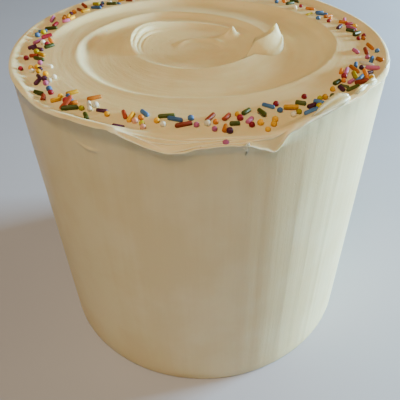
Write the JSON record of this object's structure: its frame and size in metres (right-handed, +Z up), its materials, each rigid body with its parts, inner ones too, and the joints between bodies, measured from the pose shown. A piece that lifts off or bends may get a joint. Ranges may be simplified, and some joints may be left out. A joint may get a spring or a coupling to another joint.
{
  "type": "vanilla cake",
  "caption": "Tall round vanilla cake in smooth buttercream, with a spiral swirl and a pulled-up curl on top and a ring of sugar sprinkles just inside the rim",
  "frame": {"origin": "middle of the flat base of the cake, at the height of what it stands on", "axes": "+Z up along the axis of the cake, -Y to the front with the torn lip of icing, +X to the viewer's right with the curl"},
  "size_m": [0.1666, 0.1672, 0.1574],
  "materials": {
    "buttercream": "soft vanilla buttercream, smoothed with a scraper, satin"
  },
  "bodies": {
    "root": {"iced_cake": "buttercream"}
  },
  "joints": []
}
